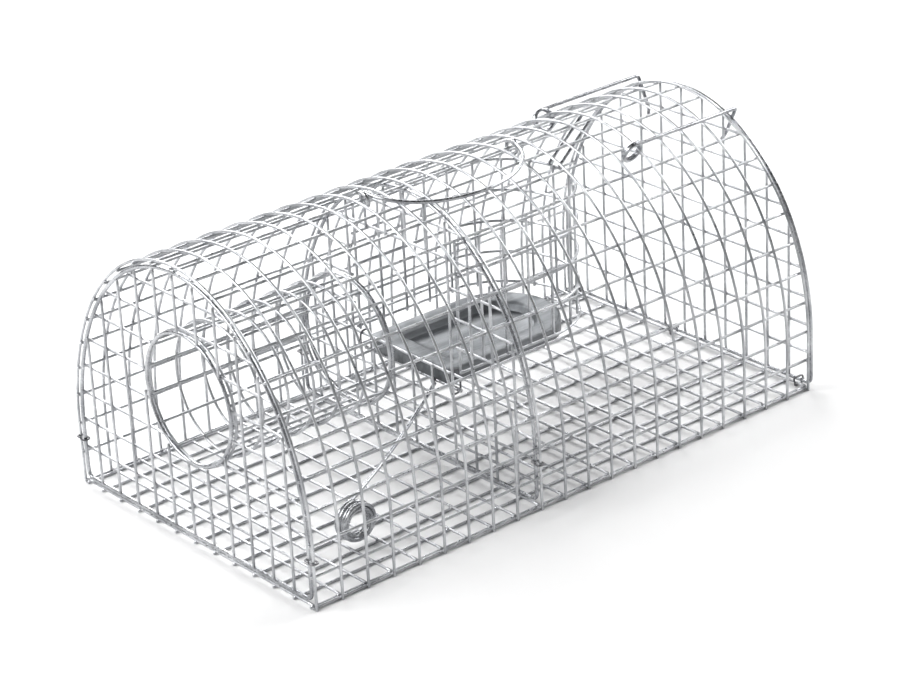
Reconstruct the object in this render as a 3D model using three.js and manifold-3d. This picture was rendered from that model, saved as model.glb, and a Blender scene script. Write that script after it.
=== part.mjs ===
// Live catch trap: an arched cage of welded wire mesh that takes one rat after another.
// A mesh tunnel leads in at the front. Behind the partition a counterweighted pan tips
// what steps on it into the rear chamber. Two wire latches hold the rear door shut.
// Millimetres, +X from the entry to the rear door, +Z up, origin under the middle of the floor.
import * as THREE from 'three';
import { mergeVertices } from 'three/addons/utils/BufferGeometryUtils.js';
import Module from 'manifold-3d';

const wasm = await Module();
wasm.setup();

// ---- driving dimensions ----
const CAGE_LENGTH = 401.85; // over the end hoops
const CAGE_WIDTH = 228.6; // between the mesh planes of the two walls
const LEG_HEIGHT = 38.1; // upright foot of each wall
const ARCH_RISE = 139.7; // height of the arch above the feet
const MESH_PITCH = 19.05; // wanted spacing of the mesh wires
const WIRE = 1.8; // mesh wire
const FRAME_WIRE = 2.5; // frames, pivot, lever, handle and latches
const CLIP_WIRE = 1.25; // hog rings
const CLIP_WIDTH = 1.6; // hog rings, along the wires that they hold
const GAP = 0.3; // between pieces that touch
const STUB = 0.4; // what a mesh wire stands past its last crossing
const SWING_GAP = 0.8; // between the rear hoop and the door frame

const PARTITION_FROM_FRONT = 172.35;
const TUNNEL_RADIUS = 41;
const TUNNEL_SIDE = -4; // its axis is a little to the near side
const TUNNEL_SHARE = 0.5357; // height of its axis, as a share of the roof's
const TUNNEL_LENGTH = 116;
const MOUTH_CLEARANCE = 0.4; // from the mouth's ring to the cut ends of the front panel

const SILL_WIRE = 3; // the level wire under the doorway, counted from the foot of the partition

const PAN_LENGTH = 113;
const PAN_HALF_WIDTH = 39;
const PAN_SIDE = 7; // its middle is a little to the far side
const PAN_TOP = 64;
const PAN_DEPTH = 10;
const PAN_SHEET = 0.5;
const PAN_SIDE_RIM = 13;
const PAN_FRONT_RIM = 14;
const PAN_REAR_RIM = 16;
const PAN_SINK = 6;
const PAN_GAP = 0.5; // from the partition's wires to the pan
const PIVOT_SETBACK = 4.8; // pivot behind the middle of the partition
const PIVOT_HEIGHT = 52;
const PIVOT_STANDOUT = 7; // past each side of the pan
const EYE_STANDOUT = 4; // of the pivot's eyes, past each side of the pan

const COIL_RADIUS = 13;
const COIL_HOLE = 6.5;
const COIL_WIDTH = 10;
const COIL_REACH = 112; // in front of the pivot
const COIL_SIDE = -72;
const COIL_HEIGHT = 17.4;
const LEVER_SIDE = -12; // where the lever leaves the pivot wire

const HOOD_MARGIN = 10; // beside the pan
const HOOD_SETBACK = 2; // from the start of the pan's round end to the start of the hood's
const HOOD_FOOT = 66;
const HOOD_HEADROOM = 5.1; // between its upper corners and the skin
const STRUT_SPREAD = 9;
const STRUT_LEAN = 28;

const HANDLE_SPAN = 114;
const HANDLE_REACH = 40;
const HANDLE_MIDDLE = 0.4; // along X
const HANDLE_CLEARANCE = 0.3; // over the hoops that it rests on when folded
const EYE_RADIUS = 4.25; // middle of the handle's eyes

const LATCH_LENGTH = 80;
const LATCH_BARS = 2; // the latch eyes sit beside the second bar from the ridge
const LATCH_SHIFT = 4.8; // from that bar to the eye, down the wall
const LATCH_RING = 6.8; // the latch eyes are loose on their hoop
const LATCH_HANG = 2.8; // of an eye's middle, in front of the hoop and below it
const HOOK_LENGTH = 26;

const HINGE_HEIGHT = 3.4;
const MIDDLE_REACH = 0.8; // how near the middle parts of the front mesh come to its level, of the mouth's radius
const CUT_REACH = 20; // what a cutter stands past the panel that it cuts

// ---- shared values ----
const frontX = -CAGE_LENGTH / 2;
const rearX = CAGE_LENGTH / 2;
const half = CAGE_WIDTH / 2;
const roofZ = LEG_HEIGHT + ARCH_RISE;
const r = WIRE / 2;
const f = FRAME_WIRE / 2;
const baysLong = Math.round((CAGE_LENGTH - WIRE) / MESH_PITCH);
const hoopPitch = (CAGE_LENGTH - WIRE) / baysLong;
const hoopX = (i) => frontX + r + i * hoopPitch;
const baysWide = 2 * Math.round(CAGE_WIDTH / MESH_PITCH / 2);
const widePitch = CAGE_WIDTH / baysWide;
const latchHoop = baysLong - Math.round(LATCH_LENGTH / hoopPitch);
const partitionX = frontX + PARTITION_FROM_FRONT;
const pivotX = partitionX + PIVOT_SETBACK;
const doorX = rearX + STUB + SWING_GAP; // front face of the door
const floorTop = 2 * WIRE;
const tunnelHeight = TUNNEL_SHARE * roofZ;
const pivotHalfLength = PAN_HALF_WIDTH + PIVOT_STANDOUT;
const hoodHalfWidth = PAN_HALF_WIDTH + HOOD_MARGIN;
const hoodStraight = PAN_LENGTH - PAN_HALF_WIDTH + HOOD_SETBACK;
// the two end frames lie inside the skin, above the floor, and their mesh inside them
const frameInset = -WIRE - GAP - f;
const frameFoot = floorTop + GAP + f;
const panelInset = frameInset - f - GAP;
const panelFoot = frameFoot + f + GAP;
// the pivot's eyes are beside the pan, clear of the partition's uprights
const besideUpright = CLIP_WIDTH / 2 + GAP + r;
const clearOfUprights = (y) => {
  const upright = Math.round(y / widePitch) * widePitch;
  return Math.abs(y - upright) < besideUpright ? upright + besideUpright : y;
};
const eyeNear = -clearOfUprights(PAN_HALF_WIDTH + EYE_STANDOUT - PAN_SIDE);
const eyeFar = clearOfUprights(PAN_HALF_WIDTH + EYE_STANDOUT + PAN_SIDE);
// the doorway is edged by the first uprights past those eyes, stands on the sill wire
// and goes up to the last level wire that spans it
const uprightPast = (y) => Math.ceil((y + besideUpright) / widePitch) * widePitch;
const doorwayNear = -uprightPast(-eyeNear);
const doorwayFar = uprightPast(eyeFar);
const sillHeight = panelFoot + SILL_WIRE * MESH_PITCH;
const spanned = archHeightAt(doorwayFar + r, panelInset) - r - panelFoot;
const headHeight = panelFoot + MESH_PITCH * Math.floor(spanned / MESH_PITCH);
const frontFrameX = frontX + f; // middle of the front frame
const tunnelX = frontFrameX + WIRE + GAP;

const galvanised = new THREE.MeshStandardMaterial({ color: 0xb9bec2, roughness: 0.35, metalness: 0.9 });
const brightWire = new THREE.MeshStandardMaterial({ color: 0xc9cdd0, roughness: 0.28, metalness: 0.95 });
const panSteel = new THREE.MeshStandardMaterial({ color: 0x85898c, roughness: 0.42, metalness: 0.85 });

const trap = new THREE.Group();

function add(name, geometry, material) {
  const mesh = new THREE.Mesh(geometry, material);
  mesh.name = name;
  trap.add(mesh);
  return mesh;
}

// ---- solids ----
function solidOf(geometry) {
  const plain = geometry.clone();
  plain.deleteAttribute('normal');
  plain.deleteAttribute('uv');
  const merged = mergeVertices(plain, 1e-4);
  return new wasm.Manifold(new wasm.Mesh({
    numProp: 3,
    vertProperties: new Float32Array(merged.attributes.position.array),
    triVerts: new Uint32Array(merged.index.array),
  }));
}

function geometryOf(solid) {
  const mesh = solid.getMesh();
  const geometry = new THREE.BufferGeometry();
  const points = [];
  for (let i = 0; i < mesh.vertProperties.length; i += mesh.numProp) {
    points.push(mesh.vertProperties[i], mesh.vertProperties[i + 1], mesh.vertProperties[i + 2]);
  }
  geometry.setAttribute('position', new THREE.Float32BufferAttribute(points, 3));
  geometry.setIndex([...mesh.triVerts]);
  geometry.computeVertexNormals();
  return geometry;
}

const joined = (solids) => solids.reduce((sum, solid) => sum.add(solid));

function box(x0, x1, y0, y1, z0, z1) {
  const geometry = new THREE.BoxGeometry(x1 - x0, y1 - y0, z1 - z0);
  return geometry.translate((x0 + x1) / 2, (y0 + y1) / 2, (z0 + z1) / 2);
}

// A six-sided rod between two points.
function rod(from, to, diameter) {
  const along = to.clone().sub(from);
  const geometry = new THREE.CylinderGeometry(diameter / 2, diameter / 2, along.length(), 6);
  const turn = new THREE.Quaternion().setFromUnitVectors(new THREE.Vector3(0, 1, 0), along.clone().normalize());
  geometry.applyQuaternion(turn);
  const middle = from.clone().add(to).multiplyScalar(0.5);
  return geometry.translate(middle.x, middle.y, middle.z);
}

// An outline in the YZ plane, extruded along X.
function extrudeAlongX(shape, x0, thickness) {
  const geometry = new THREE.ExtrudeGeometry(shape, { depth: thickness, bevelEnabled: false, curveSegments: 4 });
  // shape (x, y) and depth z become (y, z) and x
  geometry.applyMatrix4(new THREE.Matrix4().set(0, 0, 1, x0, 1, 0, 0, 0, 0, 1, 0, 0, 0, 0, 0, 1));
  return geometry;
}

// An outline in the XZ plane, extruded along Y.
function extrudeAlongY(shape, y0, thickness) {
  const geometry = new THREE.ExtrudeGeometry(shape, { depth: thickness, bevelEnabled: false, curveSegments: 4 });
  geometry.applyMatrix4(new THREE.Matrix4().set(1, 0, 0, 0, 0, 0, -1, y0 + thickness, 0, 1, 0, 0, 0, 0, 0, 1));
  return geometry;
}

// ---- the arch: upright feet and half an ellipse, measured along its length ----
const archPoints = (() => {
  const points = [new THREE.Vector2(-half, 0)];
  const steps = 360;
  for (let i = 0; i <= steps; i += 1) {
    const angle = Math.PI - (Math.PI * i) / steps;
    points.push(new THREE.Vector2(half * Math.cos(angle), LEG_HEIGHT + ARCH_RISE * Math.sin(angle)));
  }
  points.push(new THREE.Vector2(half, 0));
  return points;
})();
const archRun = [0];
for (let i = 1; i < archPoints.length; i += 1) {
  archRun.push(archRun[i - 1] + archPoints[i].distanceTo(archPoints[i - 1]));
}
const archLength = archRun[archRun.length - 1];

// The point at s along the arch and h outside its middle surface, with the outward normal.
function onArch(s, h = 0) {
  let i = 1;
  while (i < archRun.length - 1 && archRun[i] < s) i += 1;
  const share = (s - archRun[i - 1]) / (archRun[i] - archRun[i - 1]);
  const point = archPoints[i - 1].clone().lerp(archPoints[i], share);
  const along = archPoints[i].clone().sub(archPoints[i - 1]).normalize();
  const normal = new THREE.Vector2(-along.y, along.x);
  return { y: point.x + normal.x * h, z: point.y + normal.y * h, normal };
}

const archBays = 2 * Math.round((archLength - WIRE) / MESH_PITCH / 2);
const archStart = r + STUB;
const archPitch = (archLength - 2 * archStart) / archBays;
const barAt = (k) => archStart + k * archPitch;

// The solid model of the skin and the floor holds every second wire, and the outer ones.
const everySecond = (last, from) => Array.from({ length: last + 1 }, (_, i) => i)
  .filter((i) => i === 0 || i === last || (i - from) % 2 === 0);
const keptHoops = everySecond(baysLong, latchHoop);
const keptBars = everySecond(archBays, archBays / 2);

// Height and half width of the arch's inside, h outside the mesh plane (negative is inside).
function archHeightAt(y, h) {
  const a = half + h;
  return LEG_HEIGHT + (ARCH_RISE + h) * Math.sqrt(Math.max(0, 1 - (y / a) ** 2));
}

function archHalfWidthAt(z, h) {
  const a = half + h;
  if (z <= LEG_HEIGHT) return a;
  return a * Math.sqrt(Math.max(0, 1 - ((z - LEG_HEIGHT) / (ARCH_RISE + h)) ** 2));
}

// ---- welded mesh, with straight bars under bent hoops ----
// bars lie at s and run along x, hoops lie at x and run along s, place(x, s, h) bends the sheet.
function weldedSheet({ bars, hoops, barEnds, hoopEnds, place }) {
  const points = [];
  const faces = [];
  const known = new Map();
  const vertex = (x, s, h) => {
    const key = [x, s, h].map((v) => v.toFixed(4)).join(' ');
    if (!known.has(key)) {
      known.set(key, points.length);
      points.push(place(x, s, h));
    }
    return known.get(key);
  };
  const face = (corners, flip) => {
    const ids = corners.map((corner) => vertex(...corner));
    if (flip) ids.reverse();
    for (let i = 1; i < ids.length - 1; i += 1) faces.push([ids[0], ids[i], ids[i + 1]]);
  };
  const [s0, s1] = hoopEnds;
  const [x0, x1] = barEnds;
  for (const x of hoops) {
    const outer = [s0, ...bars, s1];
    for (let i = 0; i < outer.length - 1; i += 1) {
      const [p, q] = [outer[i], outer[i + 1]];
      face([[x - r, p, WIRE], [x + r, p, WIRE], [x + r, q, WIRE], [x - r, q, WIRE]]);
      const low = i === 0 ? p : p + r;
      const high = i === outer.length - 2 ? q : q - r;
      face([[x - r, low, 0], [x - r, high, 0], [x + r, high, 0], [x + r, low, 0]]);
      for (const side of [1, -1]) {
        const at = x + side * r;
        face([[at, low, 0], [at, high, 0], [at, q, WIRE], [at, p, WIRE]], side < 0);
      }
    }
    for (const s of bars) {
      for (const side of [1, -1]) {
        const at = x + side * r;
        face([[at, s - r, 0], [at, s + r, 0], [at, s, WIRE]], side < 0);
      }
    }
    face([[x - r, s0, 0], [x + r, s0, 0], [x + r, s0, WIRE], [x - r, s0, WIRE]]);
    face([[x - r, s1, 0], [x + r, s1, 0], [x + r, s1, WIRE], [x - r, s1, WIRE]], true);
  }
  for (const s of bars) {
    const top = [x0, ...hoops.flatMap((x) => [x - r, x + r]), x1];
    for (let i = 0; i < top.length; i += 2) {
      face([[top[i], s - r, 0], [top[i + 1], s - r, 0], [top[i + 1], s + r, 0], [top[i], s + r, 0]]);
    }
    face([[x0, s - r, -WIRE], [x0, s + r, -WIRE], [x1, s + r, -WIRE], [x1, s - r, -WIRE]]);
    for (const side of [-1, 1]) {
      const at = s + side * r;
      const above = [...top].reverse().map((x) => [x, at, 0]);
      face([[x0, at, -WIRE], [x1, at, -WIRE], ...above], side > 0);
    }
    face([[x0, s + r, -WIRE], [x0, s - r, -WIRE], [x0, s - r, 0], [x0, s + r, 0]]);
    face([[x1, s + r, -WIRE], [x1, s - r, -WIRE], [x1, s - r, 0], [x1, s + r, 0]], true);
  }
  let volume = 0;
  for (const [a, b, c] of faces) volume += points[a].dot(points[b].clone().cross(points[c]));
  if (volume < 0) faces.forEach((ids) => ids.reverse());
  const geometry = new THREE.BufferGeometry();
  geometry.setAttribute('position', new THREE.Float32BufferAttribute(points.flatMap((p) => p.toArray()), 3));
  geometry.setIndex(faces.flat());
  geometry.computeVertexNormals();
  return geometry;
}

// One bent sheet, made in strips that part halfway between two bars.
function addStrips(names, sheet) {
  const share = sheet.bars.length / names.length;
  names.forEach((name, n) => {
    const [first, past] = [Math.round(n * share), Math.round((n + 1) * share)];
    const parting = (k, side) => (sheet.bars[k - 1] + sheet.bars[k]) / 2 + side * (GAP / 2);
    const hoopEnds = [
      first === 0 ? sheet.hoopEnds[0] : parting(first, 1),
      past === sheet.bars.length ? sheet.hoopEnds[1] : parting(past, -1),
    ];
    add(name, weldedSheet({ ...sheet, bars: sheet.bars.slice(first, past), hoopEnds }), galvanised);
  });
}

function buildSkin() {
  addStrips(['skin_near_wall', 'skin_near_shoulder', 'skin_roof', 'skin_far_shoulder', 'skin_far_wall'], {
    bars: keptBars.map(barAt),
    hoops: keptHoops.map(hoopX),
    barEnds: [frontX - STUB, rearX + STUB],
    hoopEnds: [0, archLength],
    place: (x, s, h) => {
      const p = onArch(s, h);
      return new THREE.Vector3(x, p.y, p.z);
    },
  });
}

// Long wires lie on the ground, and the cross wires are welded on top of them.
function buildFloor() {
  const side = half - WIRE - GAP;
  const bars = everySecond(baysWide, baysWide / 2).slice(1, -1).map((j) => -half + j * widePitch);
  add('floor_mesh', weldedSheet({
    bars: [-side + r + STUB, ...bars, side - r - STUB],
    hoops: keptHoops.map(hoopX),
    barEnds: [frontX - STUB, rearX + STUB],
    hoopEnds: [-side, side],
    place: (x, s, h) => new THREE.Vector3(x, s, WIRE + h),
  }), galvanised);
}

// A flat arch-shaped panel: uprights from x0 to x0 + WIRE, level wires behind them.
function archPanel(x0, foot, inset) {
  const pieces = [];
  for (let j = 1; j < baysWide; j += 1) {
    const y = -half + j * widePitch;
    const reach = Math.abs(y) + r;
    pieces.push(box(x0, x0 + WIRE, y - r, y + r, foot, archHeightAt(reach, inset)));
  }
  for (let z = foot + MESH_PITCH; z < roofZ + inset - MESH_PITCH / 3; z += MESH_PITCH) {
    const reach = archHalfWidthAt(z + r, inset);
    pieces.push(box(x0 + WIRE, x0 + 2 * WIRE, -reach, reach, z - r, z + r));
  }
  return joined(pieces.map(solidOf));
}

// A block that cuts a part out of the panel at x.
const acrossPanel = (x, y0, y1, z0, z1) => solidOf(box(x - CUT_REACH, x + CUT_REACH, y0, y1, z0, z1));

// A closed frame wire round the same arch, inset from the mesh plane, with a straight foot.
function archFrame(x0, foot, inset) {
  const outline = (h, low) => {
    const points = [new THREE.Vector2(-(half + h), low)];
    const steps = 24;
    for (let i = 0; i <= steps; i += 1) {
      const angle = Math.PI - (Math.PI * i) / steps;
      points.push(new THREE.Vector2(
        (half + h) * Math.cos(angle),
        LEG_HEIGHT + (ARCH_RISE + h) * Math.sin(angle),
      ));
    }
    points.push(new THREE.Vector2(half + h, low));
    return points;
  };
  const shape = new THREE.Shape(outline(inset + f, foot - f));
  shape.holes.push(new THREE.Path(outline(inset - f, foot + f).reverse()));
  return extrudeAlongX(shape, x0, FRAME_WIRE);
}

// ---- front end, whose one sheet of mesh is in four parts round the mouth ----
function buildFrontEnd() {
  add('front_frame', archFrame(frontFrameX - f, frameFoot, frameInset), brightWire);
  const reach = TUNNEL_RADIUS + f + MOUTH_CLEARANCE;
  const mouth = new THREE.CylinderGeometry(reach, reach, 2 * CUT_REACH, 24);
  mouth.rotateZ(Math.PI / 2).translate(frontFrameX, TUNNEL_SIDE, tunnelHeight);
  const panel = archPanel(frontFrameX - WIRE, panelFoot, panelInset);
  const round = panel.subtract(solidOf(mouth));
  const side = reach * Math.SQRT1_2;
  const [near, far] = [TUNNEL_SIDE - side, TUNNEL_SIDE + side];
  const [low, high] = [tunnelHeight - MIDDLE_REACH * reach, tunnelHeight + MIDDLE_REACH * reach];
  for (const [name, part] of [
    ['front_mesh_near', acrossPanel(frontFrameX, -half, near, 0, roofZ)],
    ['front_mesh_far', acrossPanel(frontFrameX, far, half, 0, roofZ)],
    ['front_mesh_below_mouth', acrossPanel(frontFrameX, near + GAP, far - GAP, 0, low)],
    ['front_mesh_above_mouth', acrossPanel(frontFrameX, near + GAP, far - GAP, high, roofZ)],
  ]) add(name, geometryOf(round.intersect(part)), galvanised);
}

function ringAlongX(x0, thickness, inner, outer, sides) {
  const ring = new THREE.LatheGeometry([
    new THREE.Vector2(inner, x0),
    new THREE.Vector2(outer, x0),
    new THREE.Vector2(outer, x0 + thickness),
    new THREE.Vector2(inner, x0 + thickness),
    new THREE.Vector2(inner, x0),
  ], sides);
  return ring.rotateZ(-Math.PI / 2);
}

// ---- entry tunnel: a mesh tube with a ring at each end ----
function buildTunnel() {
  const around = 2 * Math.PI * TUNNEL_RADIUS;
  const count = Math.round(around / MESH_PITCH);
  const rings = Math.round((TUNNEL_LENGTH - WIRE) / MESH_PITCH);
  const ringPitch = (TUNNEL_LENGTH - WIRE - 2 * STUB) / rings;
  addStrips([
    'tunnel_far_upper', 'tunnel_top', 'tunnel_near_upper',
    'tunnel_near_lower', 'tunnel_bottom', 'tunnel_far_lower',
  ], {
    bars: Array.from({ length: count }, (_, k) => ((k + 0.5) * around) / count),
    hoops: Array.from({ length: rings + 1 }, (_, i) => tunnelX + STUB + r + i * ringPitch),
    barEnds: [tunnelX, tunnelX + TUNNEL_LENGTH],
    hoopEnds: [GAP / 2, around - GAP / 2],
    place: (x, s, h) => {
      const angle = s / TUNNEL_RADIUS;
      const reach = TUNNEL_RADIUS + h;
      return new THREE.Vector3(x, TUNNEL_SIDE + reach * Math.cos(angle), tunnelHeight + reach * Math.sin(angle));
    },
  });
  for (const [name, x] of [
    ['tunnel_mouth_ring', tunnelX - GAP - FRAME_WIRE],
    ['tunnel_end_ring', tunnelX + TUNNEL_LENGTH + GAP],
  ]) {
    const ring = ringAlongX(x, FRAME_WIRE, TUNNEL_RADIUS - f, TUNNEL_RADIUS + f, 24);
    add(name, ring.translate(0, TUNNEL_SIDE, tunnelHeight), brightWire);
  }
}

// ---- partition, whose one sheet of mesh is in four parts round the doorway ----
function buildPartition() {
  add('partition_frame', archFrame(partitionX - f, frameFoot, frameInset), brightWire);
  const [nearEdge, farEdge] = [doorwayNear + r + STUB, doorwayFar - r - STUB];
  const [low, high] = [sillHeight + r + STUB, headHeight - r - STUB];
  const panel = archPanel(partitionX - WIRE, panelFoot, panelInset)
    .subtract(acrossPanel(partitionX, nearEdge, farEdge, low, high));
  for (const [name, part] of [
    ['partition_below_doorway', acrossPanel(partitionX, -half, half, 0, low)],
    ['partition_beside_doorway_near', acrossPanel(partitionX, -half, nearEdge, low + GAP, high - GAP)],
    ['partition_beside_doorway_far', acrossPanel(partitionX, farEdge, half, low + GAP, high - GAP)],
    ['partition_above_doorway', acrossPanel(partitionX, -half, half, high, roofZ)],
  ]) add(name, geometryOf(panel.intersect(part)), galvanised);
}

// ---- the tilting pan, its pivot, lever and counterweight ----
// A slab whose outline is a D: straight at front, a half circle at rear.
function panSlab(front, rear, side, low, high) {
  const bend = rear - side;
  const shape = new THREE.Shape();
  shape.moveTo(front, -side);
  shape.lineTo(bend, -side);
  shape.absarc(bend, 0, side, -Math.PI / 2, Math.PI / 2, false);
  shape.lineTo(front, side);
  shape.closePath();
  const slab = new THREE.ExtrudeGeometry(shape, { depth: high - low, bevelEnabled: false, curveSegments: 12 });
  return solidOf(slab.translate(partitionX + WIRE + PAN_GAP, PAN_SIDE, low));
}

function buildPan() {
  const low = PAN_TOP - PAN_DEPTH;
  const floor = PAN_TOP - PAN_SINK;
  const under = PAN_TOP - PAN_SHEET;
  const sunk = (grow, from, to) => panSlab(
    PAN_FRONT_RIM - grow, PAN_LENGTH - PAN_REAR_RIM + grow, PAN_HALF_WIDTH - PAN_SIDE_RIM + grow, from, to,
  );
  const dish = sunk(PAN_SHEET, floor - PAN_SHEET, under + 1);
  const hollow = panSlab(PAN_SHEET, PAN_LENGTH - PAN_SHEET, PAN_HALF_WIDTH - PAN_SHEET, low - 1, under);
  const pan = panSlab(0, PAN_LENGTH, PAN_HALF_WIDTH, low, PAN_TOP)
    .subtract(sunk(0, floor, PAN_TOP + 1))
    .subtract(hollow.subtract(dish));
  add('pan', geometryOf(pan), panSteel);
  add('pan_pivot_wire', rod(
    new THREE.Vector3(pivotX, PAN_SIDE - pivotHalfLength, PIVOT_HEIGHT),
    new THREE.Vector3(pivotX, PAN_SIDE + pivotHalfLength, PIVOT_HEIGHT),
    FRAME_WIRE,
  ), brightWire);

  const coilX = pivotX - COIL_REACH;
  const coilTop = COIL_HEIGHT + COIL_RADIUS + GAP + f;
  const from = new THREE.Vector3(pivotX, LEVER_SIDE, PIVOT_HEIGHT);
  const to = new THREE.Vector3(coilX, COIL_SIDE, coilTop);
  const start = from.clone().add(to.clone().sub(from).setLength(FRAME_WIRE + GAP));
  add('counterweight_lever', rod(start, to, FRAME_WIRE), brightWire);
  const coil = new THREE.LatheGeometry([
    new THREE.Vector2(COIL_HOLE, -COIL_WIDTH / 2),
    new THREE.Vector2(COIL_RADIUS, -COIL_WIDTH / 2),
    new THREE.Vector2(COIL_RADIUS, COIL_WIDTH / 2),
    new THREE.Vector2(COIL_HOLE, COIL_WIDTH / 2),
    new THREE.Vector2(COIL_HOLE, -COIL_WIDTH / 2),
  ], 16);
  coil.rotateY(Math.PI / 16);
  add('counterweight_coil', coil.translate(coilX, COIL_SIDE, COIL_HEIGHT), brightWire);
}

// ---- hog rings: flat rounded rings that hold two wires together ----
function ringShape(a0, a1, b0, b1) {
  const path = (target, grow, round) => {
    const [l, w, t, u] = [a0 - grow, a1 + grow, b0 - grow, b1 + grow];
    target.moveTo(l + round, t);
    target.lineTo(w - round, t);
    target.lineTo(w, t + round);
    target.lineTo(w, u - round);
    target.lineTo(w - round, u);
    target.lineTo(l + round, u);
    target.lineTo(l, u - round);
    target.lineTo(l, t + round);
    target.closePath();
    return target;
  };
  const shape = path(new THREE.Shape(), CLIP_WIRE, CLIP_WIRE);
  shape.holes.push(path(new THREE.Path(), 0, GAP));
  return shape;
}

function clipAcrossY(name, x0, x1, z0, z1, y) {
  add(name, extrudeAlongY(ringShape(x0, x1, z0, z1), y - CLIP_WIDTH / 2, CLIP_WIDTH), brightWire);
}

function clipAcrossZ(name, x0, x1, y0, y1, z) {
  const ring = new THREE.ExtrudeGeometry(ringShape(x0, x1, y0, y1), { depth: CLIP_WIDTH, bevelEnabled: false });
  add(name, ring.translate(0, 0, z - CLIP_WIDTH / 2), brightWire);
}

function buildClips() {
  // the pivot's eyes hang on the doorway's sill wire
  for (const [name, y] of [['pivot_eye_near', eyeNear], ['pivot_eye_far', eyeFar]]) {
    const [low, high] = [PIVOT_HEIGHT - f - GAP, sillHeight + r + GAP];
    clipAcrossY(name, partitionX - GAP, pivotX + f + GAP, low, high, y);
  }
  // each end frame is clipped to the hoop above it, low on each wall
  const legZ = barAt(1) + archPitch / 2;
  for (const [end, frameX] of [['front', frontFrameX], ['partition', partitionX]]) {
    const apart = (i) => Math.abs(hoopX(i) - frameX);
    const nearest = keptHoops.reduce((best, i) => (apart(i) < apart(best) ? i : best));
    const low = Math.min(frameX - f, hoopX(nearest) - r) - GAP;
    const high = Math.max(frameX + f, hoopX(nearest) + r) + GAP;
    for (const [where, side] of [['near', -1], ['far', 1]]) {
      const [a, b] = [side * (half + panelInset), side * (half + WIRE + GAP)];
      clipAcrossZ(`${end}_clip_${where}`, low, high, Math.min(a, b), Math.max(a, b), legZ);
    }
  }
}

// ---- hood: a U-shaped mesh wall round the pan's drop, and two struts up to the roof ----
function buildHood() {
  const start = partitionX + WIRE + GAP;
  const bend = Math.PI * hoodHalfWidth;
  const run = 2 * hoodStraight + bend;
  const uprights = Math.round((run - WIRE - 2 * STUB) / MESH_PITCH);
  const roofAbove = archHeightAt(PAN_SIDE + hoodHalfWidth + WIRE, -WIRE);
  const hoodHeight = roofAbove - HOOD_HEADROOM - r - STUB - HOOD_FOOT;
  const rows = Math.round(hoodHeight / MESH_PITCH);
  const first = STUB + r;
  addStrips(['hood_near_side', 'hood_near_bend', 'hood_end', 'hood_far_bend', 'hood_far_side'], {
    bars: Array.from({ length: uprights + 1 }, (_, k) => first + (k * (run - 2 * first)) / uprights),
    hoops: Array.from({ length: rows + 1 }, (_, i) => HOOD_FOOT + (i * hoodHeight) / rows),
    barEnds: [HOOD_FOOT - r - STUB, HOOD_FOOT + hoodHeight + r + STUB],
    hoopEnds: [0, run],
    place: (z, s, h) => {
      const side = hoodHalfWidth + h;
      if (s <= hoodStraight) return new THREE.Vector3(start + s, PAN_SIDE - side, z);
      if (s >= hoodStraight + bend) return new THREE.Vector3(start + run - s, PAN_SIDE + side, z);
      const angle = (s - hoodStraight) / hoodHalfWidth - Math.PI / 2;
      return new THREE.Vector3(
        start + hoodStraight + side * Math.cos(angle),
        PAN_SIDE + side * Math.sin(angle),
        z,
      );
    },
  });
  const end = start + hoodStraight + hoodHalfWidth;
  const foot = HOOD_FOOT + hoodHeight + r + STUB + GAP + f;
  for (const [name, side] of [['hood_strut_near', -1], ['hood_strut_far', 1]]) {
    const y = PAN_SIDE + side * STRUT_SPREAD / 2;
    const top = archHeightAt(y, -WIRE - GAP - f - STUB);
    add(name, rod(
      new THREE.Vector3(end, y, foot),
      new THREE.Vector3(end + STRUT_LEAN, y, top),
      FRAME_WIRE,
    ), brightWire);
  }
}

// ---- rear door on three hinge rings ----
function buildDoor() {
  add('door_frame', archFrame(doorX, HINGE_HEIGHT, 0), brightWire);
  add('door_panel', geometryOf(archPanel(doorX, HINGE_HEIGHT + f + GAP, -f - GAP)), galvanised);
  const turning = f * Math.SQRT2 + GAP;
  const low = rearX - WIRE - GAP;
  const high = doorX + f + turning;
  const places = [
    ['hinge_ring_near', -half + widePitch / 2],
    ['hinge_ring_middle', widePitch / 2],
    ['hinge_ring_far', half - widePitch / 2],
  ];
  for (const [name, y] of places) {
    clipAcrossY(name, low, high, HINGE_HEIGHT - turning, HINGE_HEIGHT + turning, y);
  }
}

// ---- latches: each turns on an eye round a hoop and hooks over the door ----
function buildLatch(name, side) {
  const bar = archBays / 2 + side * LATCH_BARS;
  const { y, z, normal } = onArch(barAt(bar) + side * LATCH_SHIFT, r);
  const x = hoopX(latchHoop);
  const legX = doorX + 2 * WIRE + SWING_GAP - x;
  const ring = ringAlongX(-f, FRAME_WIRE, LATCH_RING - f, LATCH_RING + f, 16);
  ring.rotateZ(Math.PI / 2).translate(-LATCH_HANG, 0, -LATCH_HANG);
  const level = LATCH_RING - LATCH_HANG;
  const arm = box(-LATCH_HANG, legX + FRAME_WIRE, -f, f, level - f, level + f);
  const leg = box(legX, legX + FRAME_WIRE, -f, f, level - HOOK_LENGTH, level);
  const geometry = geometryOf(joined([ring, arm, leg].map(solidOf)));
  geometry.rotateX(-Math.atan2(normal.x, normal.y));
  add(name, geometry.translate(x, y, z), brightWire);
}

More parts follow.
